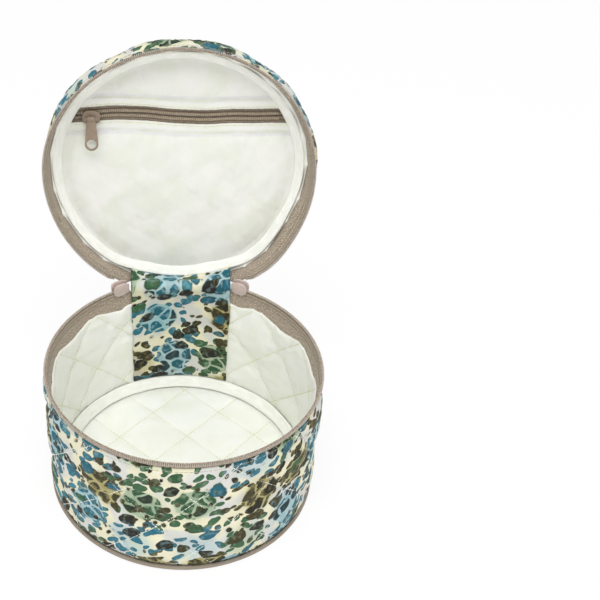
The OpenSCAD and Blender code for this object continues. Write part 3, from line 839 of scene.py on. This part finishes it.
# bias binding over the two inside seams
def bindingRing(name, inner, outer, half, seed, shape):
    # a folded leaf of cloth between two points of its section
    inner, outer = np.array(inner, float), np.array(outer, float)
    middle, way = (inner + outer) / 2, (outer - inner) / np.linalg.norm(outer - inner)
    across = np.array([-way[1], way[0]])
    long = np.linalg.norm(outer - inner) / 2 + half

    def place(u, v):
        angle, turn = 2 * math.pi * u, 2 * math.pi * v
        spot = ringPoints(angle, 80.0, 0)
        c, s = np.cos(turn), np.sin(turn)
        x = long * np.sign(c) * np.abs(c) ** 0.75
        y = half * np.sign(s) * np.abs(s) ** 0.75
        # pulled flat along the stitching near one edge, fuller at the other, never quite even
        y = y * (1 + 0.16 * ripple(spot, 23, seed) + 0.10 * np.sin(angle * 61 + 3 * c) * (c > -0.4))
        x = x + 0.25 * ripple(spot, 34, seed + 3) * c
        r = middle[0] + way[0] * x + across[0] * y
        z = middle[1] + way[1] * x + across[1] * y
        return shape(ringPoints(angle, r, z)), clothFlat(angle * 80, v * 4 * long)

    piece = gridPiece(name, 300, 20, place, closed=True)
    faceOut(piece)
    return piece


baseBinding = bindingRing("baseBinding", (78.3, 5.9), (83.2, 10.9), 0.85, 11, lambda points: points)
finishPiece(baseBinding, binding, "tub", ("base_seam_binding",))


def tuckedByHinge(points):
    # the fold of the hinge pushes this part of the ring in
    r, angle = np.hypot(points[:, 0], points[:, 1]), np.arctan2(points[:, 0], points[:, 1])
    share = (r - 3.6 * ease((0.66 - np.abs(angle)) / 0.42) + 1.4 * bump(angle, -1.95, 0.6)) / r
    return lidPlace(points * spotsAt(share, share, 1))


lidBinding = bindingRing("lidBinding", (78.8, zipZ + 17.6), (83.1, zipZ + 14.3), 0.85, 15, tuckedByHinge)
finishPiece(lidBinding, binding, "lid", ("lid_seam_binding",))
print("base and bindings made")


# rim zip: tapes and coils
zipSizes = {"cloth": 0.5, "endA": 22.5, "tuck": 1.4, "tuckA": 26.8, "stitch": 90.9, "lidStitch": 105.1,
            "stitchEnd": 4.5, "tubDrop": 5.0, "tubDropA": 25.2, "lidRises": ((2.6, 34.6), (4.8, 25.8)),
            "coilR": 89.0, "coilZ": 96.35, "coilFromA": 24.6, "lidCoilZ": 99.65, "lidCoilFromA": 30.6,
            "tubProfile": [(86.3, 80.6), (86.4, 83.0), (87.1, 86.2), (88.0, 90), (88.42, 93), (88.45, 97.4)],
            "lidProfile": [(85.8, 115.4), (85.9, 112.6), (86.7, 109), (87.8, 105.5), (88.4, 102), (88.45, 98.6)]}


def tapeBand(name, profile, side, shape, edgeShift, stitchZ):
    # profile: radius and height from the seam to the free edge, which shifts near the ends by edgeShift;
    # side turns the way the band is drawn round
    rs, zs = [np.array([p[k] for p in profile], float) for k in (0, 1)]
    run = np.concatenate([[0], np.cumsum(np.hypot(np.diff(rs), np.diff(zs)))])

    def spotAt(angle, share):
        r, z = np.interp(share * run[-1], run, rs), np.interp(share * run[-1], run, zs)
        spot = ringPoints(angle, 88.0, 0)
        wavy = (0.22 * ripple(spot, 40, 21) + 0.1 * ripple(spot, 9, 22)) * (1 - share)
        back = fromHinge(angle)
        # the ends go in behind the hinge panel
        tucked = zipSizes["tuck"] * share * ease((zipSizes["tuckA"] - back) / 3)
        return shape(ringPoints(angle, r - wavy - tucked, z + edgeShift(back) * share))

    def place(u, v):
        angle = math.pi + side * (2 * u - 1) * math.radians(180 - zipSizes["endA"])
        return spotAt(angle, v), clothFlat(angle * case["rimR"], v * run[-1])

    piece = gridPiece(name, 340, 10, place)
    thicken(piece, zipSizes["cloth"])
    share = abs(stitchZ - zs[0]) / abs(zs[-1] - zs[0])
    ring = ringFrom(zipSizes["endA"] + zipSizes["stitchEnd"], 1200)
    return piece, spotAt(ring, share)


def tubEdge(back):
    return -zipSizes["tubDrop"] * ease((zipSizes["tubDropA"] - back) / 3)


def lidEdge(back):
    # clear of the slider's plates, and inside the hinge panel beyond it
    return sum(rise * ease((fromA - back) / 3.4) for rise, fromA in zipSizes["lidRises"])


tubTape, tubRow = tapeBand("tubZipTape", zipSizes["tubProfile"], 1, lambda points: points, tubEdge, zipSizes["stitch"])
finishPiece(tubTape, rimTape, "tub", ("tub_zip_tape",))
lidTape, lidRow = tapeBand("lidZipTape", zipSizes["lidProfile"], -1, lidPlace, lidEdge, zipSizes["lidStitch"])
finishPiece(lidTape, rimTape, "lid", ("lid_zip_tape",))
stitchRow("tubTapeStitching", [tubRow], inFrom, tapeThread, "tub")


def coilRow(name, spots, ways, ups, material, body):
    piece = copyAlong(name, turnShape, spots, ways, ups)
    return finishPiece(piece, material, body, smooth=False)


ring = ringFrom(zipSizes["coilFromA"], 1400)
spots, ways = along(ringPoints(ring, zipSizes["coilR"], zipSizes["coilZ"]), coilTurn["pitch"])
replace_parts(coilRow("tubZipCoil", spots, ways, outFrom(spots), rimCoil, "tub"), "tub_zip_coil")
ring = ringFrom(zipSizes["lidCoilFromA"], 1400)
shutRow = ringPoints(ring, zipSizes["coilR"], zipSizes["lidCoilZ"] + lidEdge(fromHinge(ring)))
spots, ways = along(shutRow, coilTurn["pitch"])
lidCoil = coilRow("lidZipCoil", lidPlace(spots), opened(spots + ways) - opened(spots),
                  opened(spots + outFrom(spots)) - opened(spots), rimCoil, "lid")
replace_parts(lidCoil, "lid_zip_coil")
print("rim zip made")


# lid, outside
lidShell = {"columns": 288, "rows": 18, "puff": 0.9, "swell": 0.9, "slack": 0.4, "bulge": 1.0, "bulgeTop": 26.5,
            "cloth": 1.0, "top": 25.5, "hingeFoot": 14.3, "quiltH": 20.0, "clothUp": 130,
            "topCells": 100, "topR": 87.4, "topH": 25.2, "edge": 0.9, "crown": 2.4, "topSlack": 0.35, "topSwell": 1.3,
            "topStitchR": 82.0, "quiltAt": (8.0, 11.0), "clothY": 260,
            "sewnFoot": 11, "sewnTop": 21, "sewnBack": 225, "topSewnR": 81}


def gussetFoot(angle):
    # the printed edge rises beside the parked sliders and meets the hinge panel
    back = fromHinge(angle)
    foot = case["lidBend"] + 5.0 * ease((35 - back) / 7)
    return np.where(back < case["zipEndA"], lidShell["hingeFoot"], foot)


def gussetRadius(angle, h, foot):
    # the padding rounds the side of the lid, less where its own weight flattens the top of it
    quilt = lidShell["puff"] * diamond(frontRun(angle), h, z0=lidShell["quiltH"])
    free = ease((h - foot) / 6) * ease((case["lidH"] - h) / 5)
    soft = ripple(ringPoints(angle, 88.0, h), 48, 7) * lidShell["slack"]
    turn = np.mod(angle, 2 * math.pi)
    rise = np.sin(math.pi * np.clip((h - foot) / (lidShell["bulgeTop"] - foot), 0, 1)) ** 0.8
    bulge = lidShell["bulge"] + 1.2 * bump(turn, 4.1, 0.25) - 2.4 * ease((turn - 4.2) / 0.25)
    bulge = (bulge + 1.4 * ease((2.3 - turn) / 0.6)) * rise * ease((fromHinge(angle) - 24) / 14)
    hem = outerWall["hem"] * bump(h, foot + outerWall["hemStitch"], 0.8)
    return lidR(h) + bulge + (quilt + soft) * free - ease((h - 23.4) / 2.2) - hem


def placeGusset(u, v):
    angle = 2 * math.pi * (1 - u)
    foot = gussetFoot(angle)
    h = foot + (lidShell["top"] - foot) * v
    points = ringPoints(angle, gussetRadius(angle, h, foot), zipZ + h)
    return lidPlace(points), clothFlat(clothRun(u), h + lidShell["clothUp"])


gusset = gridPiece("lidGusset", lidShell["columns"], lidShell["rows"], placeGusset, closed=True)
run, up = clothOf(gusset)
up = up - lidShell["clothUp"]
sewn = seams(diamond(run, up, z0=lidShell["quiltH"]), ease((lidShell["sewnFoot"] - up) / 4),
             ease((up - lidShell["sewnTop"]) / 3), ease((np.abs(run) - lidShell["sewnBack"]) / 6))
swell(gusset, sewn, lidShell["swell"])
thicken(gusset, lidShell["cloth"])
finishPiece(gusset, lidPrint, "lid", ("lid_gusset_outer", "lid_gusset_foam"))


def lidTopHeight(x, y):
    r = np.hypot(x, y)
    edge = np.sqrt(np.clip(1 - (r / lidShell["topR"]) ** 12, 0, 1))
    crown = edge * (lidShell["edge"] + lidShell["crown"] * (1 - (r / lidShell["topR"]) ** 2))
    soft = ripple(spotsAt(x, y), 58, 12) * lidShell["topSlack"]
    quilt = lidShell["puff"] * (diamond(x, y, *lidShell["quiltAt"]) - 0.35)
    return zipZ + lidShell["topH"] + crown + (quilt + soft) * ease((80 - r) / 9)


lidTop = discPiece("lidTop", lidShell["topCells"], lidShell["topR"], lidTopHeight, lidPlace, clothY=lidShell["clothY"])
x, y = clothOf(lidTop)
y = y - lidShell["clothY"]
sewn = seams(diamond(x, y, *lidShell["quiltAt"]), ease((np.hypot(x, y) - lidShell["topSewnR"]) / 3))
swell(lidTop, sewn, lidShell["topSwell"])
thicken(lidTop, lidShell["cloth"])
finishPiece(lidTop, lidPrint, "lid", ("lid_outer_panel", "lid_foam"))
paths = discLines(lidShell["topStitchR"], lidTopHeight, *lidShell["quiltAt"])
stitchRow("lidTopStitching", [lidPlace(path) for path in paths], lidUp, outerThread, "lid")
ring = ringFrom(34, 800)
hemH = case["lidBend"] + outerWall["hemStitch"]
hemRow = ringPoints(ring, gussetRadius(ring, hemH, gussetFoot(ring)), zipZ + hemH)


def outFromLid(points):
    shut = opened(points, -1.0)
    return opened(shut + outFrom(shut)) - points


stitchRow("lidHemStitching", [lidPlace(hemRow)], outFromLid, hemThread, "lid")
stitchRow("lidTapeStitching", [lidRow], lambda points: -outFromLid(points), tapeThread, "lid")
print("lid outside made")


# lid, inside
lidInside = {"faceH": 18.5, "edgeR": 84.2, "cells": 104, "slack": 1.3, "cloth": 0.7, "swell": 1.4, "pressure": 1.2,
             "grow": 0.02, "hem": 6.2, "pocketY": -38.3, "window": 5.05, "bendTo": 30, "sewnR": 74,
             "backR": 77.0, "backH": 21.8, "backCloth": 0.6,
             "gussetCloth": 0.8, "gussetTop": 19.0, "gussetFoot": 14.4, "peak": 2.8, "sag": 4.4}


def placeGussetLining(u, v):
    angle = 2 * math.pi * u
    field = diamond(frontRun(angle), zipZ)
    foot = lidInside["gussetFoot"] - lidInside["peak"] + lidInside["sag"] * field
    back = fromHinge(angle)
    foot = foot + 1.2 * ease((75 - back) / 25) - 1.6 * ease((back - 85) / 20)
    foot = foot + bump(angle, lidLean["at"], lidLean["reach"])
    h = foot + (lidInside["gussetTop"] - foot) * v
    soft = ripple(ringPoints(angle, 84, h), 26, 17) * 0.25
    # it bellies in behind the ring, so that no gap shows, and its foot lies on the tape
    below = lidInside["gussetTop"] - h
    belly = 1.5 * ease((h - 11.5) / 2.5) * ease(below / 4)
    flat = lidR(h) - case["stack"] - (0.5 * field + soft) * ease(below / 3) - belly
    radii, heights = zip(*reversed(zipSizes["lidProfile"]))
    onTape = np.interp(zipZ + h, heights, radii) - 0.75
    points = ringPoints(angle, onTape + (flat - onTape) * ease((h - foot) / 4), zipZ + h)
    return lidPlace(points), clothFlat(-clothRun(u), h)


gussetLining = gridPiece("lidGussetLining", 288, 8, placeGussetLining, closed=True)
thicken(gussetLining, lidInside["gussetCloth"])
finishPiece(gussetLining, wallNylon, "lid", ("lid_gusset_lining",))


def zipWave(x):
    # the pocket zip isn't quite straight between its sewn ends
    rise = 2.6 * bump(x, -38, 25) - 0.8 * bump(x, 12, 15) + 0.12 * np.sin(x / 4.3)
    return -rise * ease((77 - np.abs(x)) / 14)


def fromPocket(x, y):
    # how far outside the window over the pocket zip
    return np.abs(y - lidInside["pocketY"] - zipWave(x)) - lidInside["window"]


def pocketFace(x, y):
    # height of the lining's face in the shut case; lower is nearer to the viewer of an open lid
    r = np.hypot(x, y)
    spot = spotsAt(x, y * 0.6)
    window = fromPocket(x, y)
    free = ease((76 - r) / 12) * ease((window - 1) / 12)
    soft = (0.55 + 0.45 * ripple(spot, 62, 31)) * lidInside["slack"]
    soft = soft + 0.42 * ripple(spot, 19, 33) + 0.16 * ripple(spot, 8, 35)
    hemFold = 0.35 * ease((lidInside["hem"] + 0.6 - window) / 0.8)
    stitched = 0.3 * bump(window, lidInside["hem"], 0.7)
    pull = 0.22 * np.sin(x * 1.1 + 2 * np.sin(x / 9)) * ease((9 - window) / 7) * ease((76 - r) / 6)
    return zipZ + lidInside["faceH"] - (soft * free + hemFold - stitched + pull)


def pocketPanel(name, side, nodes):
    edge = lidInside["pocketY"] + side * lidInside["window"]
    piece = discPiece(name, lidInside["cells"], lidInside["edgeR"], lambda x, y: zipZ, facing=(-1, 1))
    inEdit(piece, bpy.ops.mesh.bisect, plane_co=(0, edge / 1000, zipZ / 1000), plane_no=(0, side, 0), clear_inner=True)
    points = readPoints(piece) * 1000
    x, y = points[:, 0], points[:, 1]
    y = y + zipWave(x) * ease(1 - np.abs(y - edge) / lidInside["bendTo"])
    writePoints(piece, lidPlace(spotsAt(x, y, pocketFace(x, y))) / 1000)
    atHem = ease((lidInside["hem"] + 1.5 - fromPocket(x, y)) / 1.5)
    sewn = np.maximum(atHem, ease((np.hypot(x, y) - lidInside["sewnR"]) / 4))
    swell(piece, sewn, lidInside["swell"], lidInside["pressure"], lidInside["grow"])
    thicken(piece, lidInside["cloth"])
    finishPiece(piece, lidNylonShaded, "lid", nodes)


pocketPanel("lidLiningLower", 1, ("lid_lining_lower",))
pocketPanel("lidLiningUpper", -1, ("lid_lining_upper",))


def backHeight(x, y):
    return zipZ + lidInside["backH"] + 0.3 * ripple(spotsAt(x, y), 40, 40)


backLining = discPiece("pocketBack", 40, lidInside["backR"], backHeight, opened, facing=(-1, 1))
thicken(backLining, lidInside["backCloth"])
finishPiece(backLining, lidNylonShaded, "lid", ("pocket_back_lining",))


# pocket zip
pocketZip = {"tapeNear": 0.25, "tapeFar": 8.2, "tapeH": 19.3, "tapeR": 80.5, "cloth": 0.5, "coilAt": 1.65,
             "reach": 66.1, "stitches": (1.3, lidInside["hem"]), "stitchR": 77.2}


def pocketTapePiece(name, side, nodes):
    def place(u, v):
        across = side * (pocketZip["tapeNear"] + (pocketZip["tapeFar"] - pocketZip["tapeNear"]) * v)
        y = lidInside["pocketY"] + across
        x = side * (1 - 2 * u) * np.sqrt(pocketZip["tapeR"] ** 2 - y ** 2)
        h = pocketZip["tapeH"] + 0.12 * np.sin(x / 6.0) * ease((60 - np.abs(x)) / 10)
        return opened(spotsAt(x, y + zipWave(x), zipZ + h)), clothFlat(x, np.abs(across) + 3)

    piece = gridPiece(name, 150, 6, place)
    thicken(piece, pocketZip["cloth"])
    finishPiece(piece, pocketTape, "lid", nodes)


pocketTapePiece("pocketTapeUpper", -1, ("pocket_zip_tape_upper",))
pocketTapePiece("pocketTapeLower", 1, ("pocket_zip_tape_lower",))
for name, side, node, start in (("pocketCoilUpper", -1, "pocket_zip_coil_upper", 0),
                                ("pocketCoilLower", 1, "pocket_zip_coil_lower", 0.5)):
    x = np.linspace(start - pocketZip["reach"], start + pocketZip["reach"] - 0.5, 700)
    y = lidInside["pocketY"] + side * pocketZip["coilAt"] + zipWave(x)
    spots, ways = along(spotsAt(x, y, zipZ + pocketZip["tapeH"]), coilTurn["pocketPitch"])
    row = coilRow(name, opened(spots), ways * [1, 0, 0], np.tile(-lidUp, (len(spots), 1)), pocketCoil, "lid")
    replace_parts(row, node)
paths = []
for side in (1, -1):
    for offset in pocketZip["stitches"]:
        x = np.linspace(-76, 76, 500)
        y = lidInside["pocketY"] + side * (lidInside["window"] + offset)
        y = y + zipWave(x) * (1 - offset / lidInside["bendTo"])
        inside = np.hypot(x, y) < pocketZip["stitchR"]
        x, y = x[inside], y[inside]
        paths.append(lidPlace(spotsAt(x, y, pocketFace(x, y))))
stitchRow("pocketStitching", paths, -lidUp, liningThread, "lid", lift=0.08)
print("lid inside and pocket made")


# fabric hinge: printed panel outside, printed tab inside
hinge = {"half": 34.5, "seamHalf": 38.0, "seamZ": 84.0, "lidSeam": 14.0, "panelFoldY": 81.0, "panelCloth": 1.0,
         "panelZ": [83.2, 90, 96, 98, 100, 106, 112.6], "panelBend": [(0, 78.2, 94.0), (0, 87.4, 101.6)],
         "tabHalf": 34.7, "tabAcross": 0.7, "tabFoldY": 79.2, "tabCloth": 0.9, "tabSeams": (30.6, 27.4),
         "tabZ": [12.6, 30, 48, 66, 84, 91, 96, 98, 100, 105, 110, 113.2],
         "tabBend": [(0, 76.6, 93.6), (0, 86.4, 101.8)]}


def stripPiece(name, columns, heights, profile, width, bend, thickness, side, across):
    # profile gives y for a place across and a height, all in the shut case
    def place(u, v):
        z = np.interp(v * (len(heights) - 1), np.arange(len(heights)), heights)
        x = side * (2 * u - 1) * width(z) + across
        return blended(spotsAt(x, profile(x, z), z), *bend), clothFlat(x + 50, z * 1.02)

    piece = gridPiece(name, columns, 60, place)
    thicken(piece, thickness, 0)
    return piece


def hingeLine(x, z, below, above, foldY):
    # straight from the wall's arc to the fold and back to the lid's arc
    low = np.sqrt(np.maximum(below ** 2 - x * x, 0))
    high = np.sqrt(np.maximum(above ** 2 - x * x, 0))
    down = np.clip((zipZ - z) / (zipZ - hinge["seamZ"]), 0, 1)
    up = np.clip((z - zipZ) / hinge["lidSeam"], 0, 1)
    return np.where(z < zipZ, foldY + (low - foldY) * down ** 1.15, foldY + (high - foldY) * up ** 1.15)


def panelWidth(z):
    away = np.clip(np.abs(z - zipZ) / hinge["lidSeam"], 0, 1)
    return hinge["half"] + (hinge["seamHalf"] - hinge["half"]) * ease((away - 0.35) / 0.65)


def panelProfile(x, z):
    # the panel's middle, half its thickness inside its outer face
    y = hingeLine(x, z, case["rimR"] - 0.1, float(lidR(hinge["lidSeam"])) - 0.1, hinge["panelFoldY"])
    return y - 0.6 + 0.25 * np.sin(x / 7.5) * ease((9 - np.abs(z - zipZ)) / 8)


panel = stripPiece("hingePanel", 44, hinge["panelZ"], panelProfile, panelWidth, hinge["panelBend"], hinge["panelCloth"],
                   -1, 0)
finishPiece(panel, outerPrint, hinge["panelBend"], ("hinge_panel_lower", "hinge_panel_upper"))


def tabWidth(z):
    return hinge["tabHalf"] - 0.5 * ease((70 - z) / 30) + 0.25 * np.sin(z / 5.3) + 0.2 * np.sin(z / 2.1)


def tabProfile(x, z):
    wall = wallR(z) - case["stack"] - 0.7
    atSeam = float(wallR(hinge["seamZ"])) - case["stack"] - 0.7
    y = np.where(z < hinge["seamZ"], np.sqrt(wall ** 2 - x * x), hingeLine(x, z, atSeam, 81.3, hinge["tabFoldY"]))
    soft = 0.45 * ripple(spotsAt(x, 0 * x, z), 31, 50) + 0.16 * ripple(spotsAt(x, 0 * x, z), 9, 52)
    edge = ease((hinge["tabHalf"] - np.abs(x)) / 5)
    groove = 0.22 * sum(bump(np.abs(x), at, 0.6) for at in hinge["tabSeams"])
    return y - 0.35 * edge - (soft + 0.3) * edge * ease((z - 12) / 8) * 0.8 + groove


tab = stripPiece("hingeTab", 66, hinge["tabZ"], tabProfile, tabWidth, hinge["tabBend"], hinge["tabCloth"], 1,
                 hinge["tabAcross"])
finishPiece(tab, tabPrint, hinge["tabBend"], ("hinge_tab_lower", "hinge_tab_upper"))
print("hinge made")


# sliders and pulls: the CAD shapes with rounded edges
def roundedCopy(name, node, bevelMm, material, body):
    source = frame["nodes"][node]
    piece = bpy.data.objects.new(name, source.data.copy())
    bpy.context.collection.objects.link(piece)
    mergePoints(piece, 0.000005)
    inEdit(piece, bpy.ops.mesh.dissolve_limited, angle_limit=math.radians(2))
    applyModifier(piece, "BEVEL", width=bevelMm / 1000, segments=2, limit_method="ANGLE", angle_limit=math.radians(35))
    focus(piece)
    bpy.ops.object.shade_smooth_by_angle(angle=math.radians(40))
    return finishPiece(piece, material, body, (node,), smooth=False)


for side in ("left", "right"):
    roundedCopy(side + "SliderBody", side + "_slider", 0.22, rimEnamel, side + "_slider")
    roundedCopy(side + "PullTab", side + "_pull", 0.28, rimEnamel, side + "_pull")
roundedCopy("pocketSliderBody", "pocket_slider", 0.22, pocketEnamel, "pocket_slider")
roundedCopy("pocketPullTab", "pocket_pull", 0.28, pocketEnamel, "pocket_pull")
for part in (stitchShape, turnShape):
    bpy.data.objects.remove(part)
print("sliders made")


# floor, light and camera
studio = {"floor": 3.0, "worldLight": 0.645,
          "overWatts": 22.5, "overSize": 1.44, "overPlace": (-0.19, -0.61, 2.05),
          "frontWatts": 2.6, "frontSize": 0.8, "frontPlace": (0.3, -1.15, 0.75)}


def backdropMaterial():
    # matt white paper sweep: near white to the camera, with a faint soft shadow
    material, add = newMaterial("white paper", **{"Roughness": 1.0, "Specular IOR Level": 0.0,
                                                  "Base Color": hexColour("FFFFFF")})
    nodes, rays = material.node_tree.nodes, add("LightPath").node.outputs
    seen = add("Math", rays["Is Camera Ray"], rays["Is Glossy Ray"], operation="MAXIMUM")
    seen = add("Math", seen, 0.85, operation="MULTIPLY")
    both = add("MixShader", seen, nodes["Principled BSDF"].outputs[0], add("Emission", "FFFFFF", 1.0))
    material.node_tree.links.new(both, nodes["Material Output"].inputs["Surface"])
    return material


deselectAll()
bpy.ops.mesh.primitive_plane_add(size=studio["floor"])
floor = bpy.context.object
floor.name = "floor"
floor.data.materials.append(backdropMaterial())

world = bpy.data.worlds.new("studio")
bpy.context.scene.world = world
world.use_nodes = True
add, nodes = partial(addNode, world.node_tree), world.node_tree.nodes
sky = nodes["Background"]
sky.inputs["Color"].default_value = hexColour("FFFFFF")
sky.inputs["Strength"].default_value = studio["worldLight"]
pick = add("MixShader", add("LightPath"), sky.outputs[0], add("Background", "FFFFFF", 1.0))
world.node_tree.links.new(pick, nodes["World Output"].inputs["Surface"])


def softLamp(name, place, aim, size, watts):
    deselectAll()
    bpy.ops.object.light_add(type="AREA", location=place)
    lamp = bpy.context.object
    lamp.name = name
    lamp.data.shape, lamp.data.size, lamp.data.energy = "DISK", size, watts
    way = np.array(aim) - np.array(place)
    lamp.rotation_euler = (math.atan2(math.hypot(way[0], way[1]), -way[2]), 0, math.atan2(way[0], -way[1]) + math.pi)


softLamp("overLamp", studio["overPlace"], (0, 0, 0.05), studio["overSize"], studio["overWatts"])
softLamp("frontLamp", studio["frontPlace"], (0, 0.02, 0.12), studio["frontSize"], studio["frontWatts"])

# the camera looks down into the drum; place in metres, turn in degrees
view = {"place": (-0.0257491163, -0.5480414679, 0.5810162248), "turn": (51.7975191904, -0.9430488760, -1.9479026011),
        "lens": 67.6836, "shift": 0.1912}
deselectAll()
bpy.ops.object.camera_add(location=view["place"], rotation=[math.radians(a) for a in view["turn"]])
camera = bpy.context.object
camera.name = "camera"
camera.data.lens, camera.data.shift_x = view["lens"], view["shift"]
bpy.context.scene.camera = camera
bpy.context.scene.view_settings.view_transform = "Standard"
print("camera and light placed")
